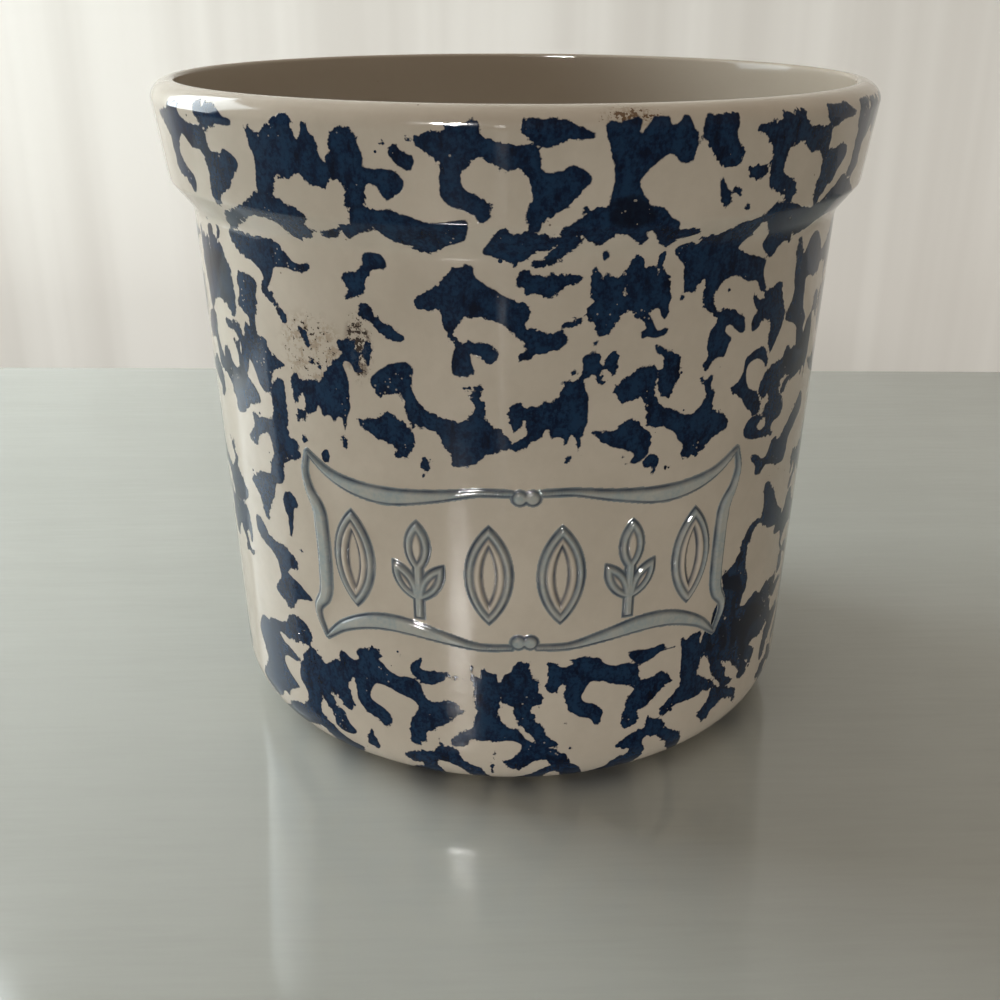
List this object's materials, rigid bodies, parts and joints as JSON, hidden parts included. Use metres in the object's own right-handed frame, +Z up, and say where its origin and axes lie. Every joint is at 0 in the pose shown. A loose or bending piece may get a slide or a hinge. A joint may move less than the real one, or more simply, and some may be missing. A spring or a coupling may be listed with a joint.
{
  "type": "butter crock",
  "caption": "Open round stoneware crock with a heavy collar rim, a rounded heel and a raised label panel on its sponge-decorated wall, for keeping butter.",
  "frame": {"origin": "centre of the foot on the table, on the crock's axis", "axes": "+Z up along the crock's axis; -Y out of the middle of the label, so the label faces -Y; +X to the right seen from the front"},
  "size_m": [0.1502, 0.1502, 0.14],
  "materials": {
    "sponged_glaze": "gloss",
    "frame_wash": "gloss",
    "figure_wash": "gloss",
    "dry_clay": "matte"
  },
  "bodies": {
    "root": {"crock_wall": "sponged_glaze", "crock_base": "sponged_glaze", "rim_collar": "sponged_glaze", "foot_ring": "dry_clay", "frame_top_left": "frame_wash", "frame_top_right": "frame_wash", "frame_bottom_left": "frame_wash", "frame_bottom_right": "frame_wash", "frame_side_left": "frame_wash", "frame_side_right": "frame_wash", "frame_clasp_top": "frame_wash", "frame_clasp_bottom": "frame_wash", "figure_leaf_1": "figure_wash", "figure_sprig_2": "figure_wash", "figure_leaf_3": "figure_wash", "figure_leaf_4": "figure_wash", "figure_sprig_5": "figure_wash", "figure_leaf_6": "figure_wash"}
  },
  "joints": []
}
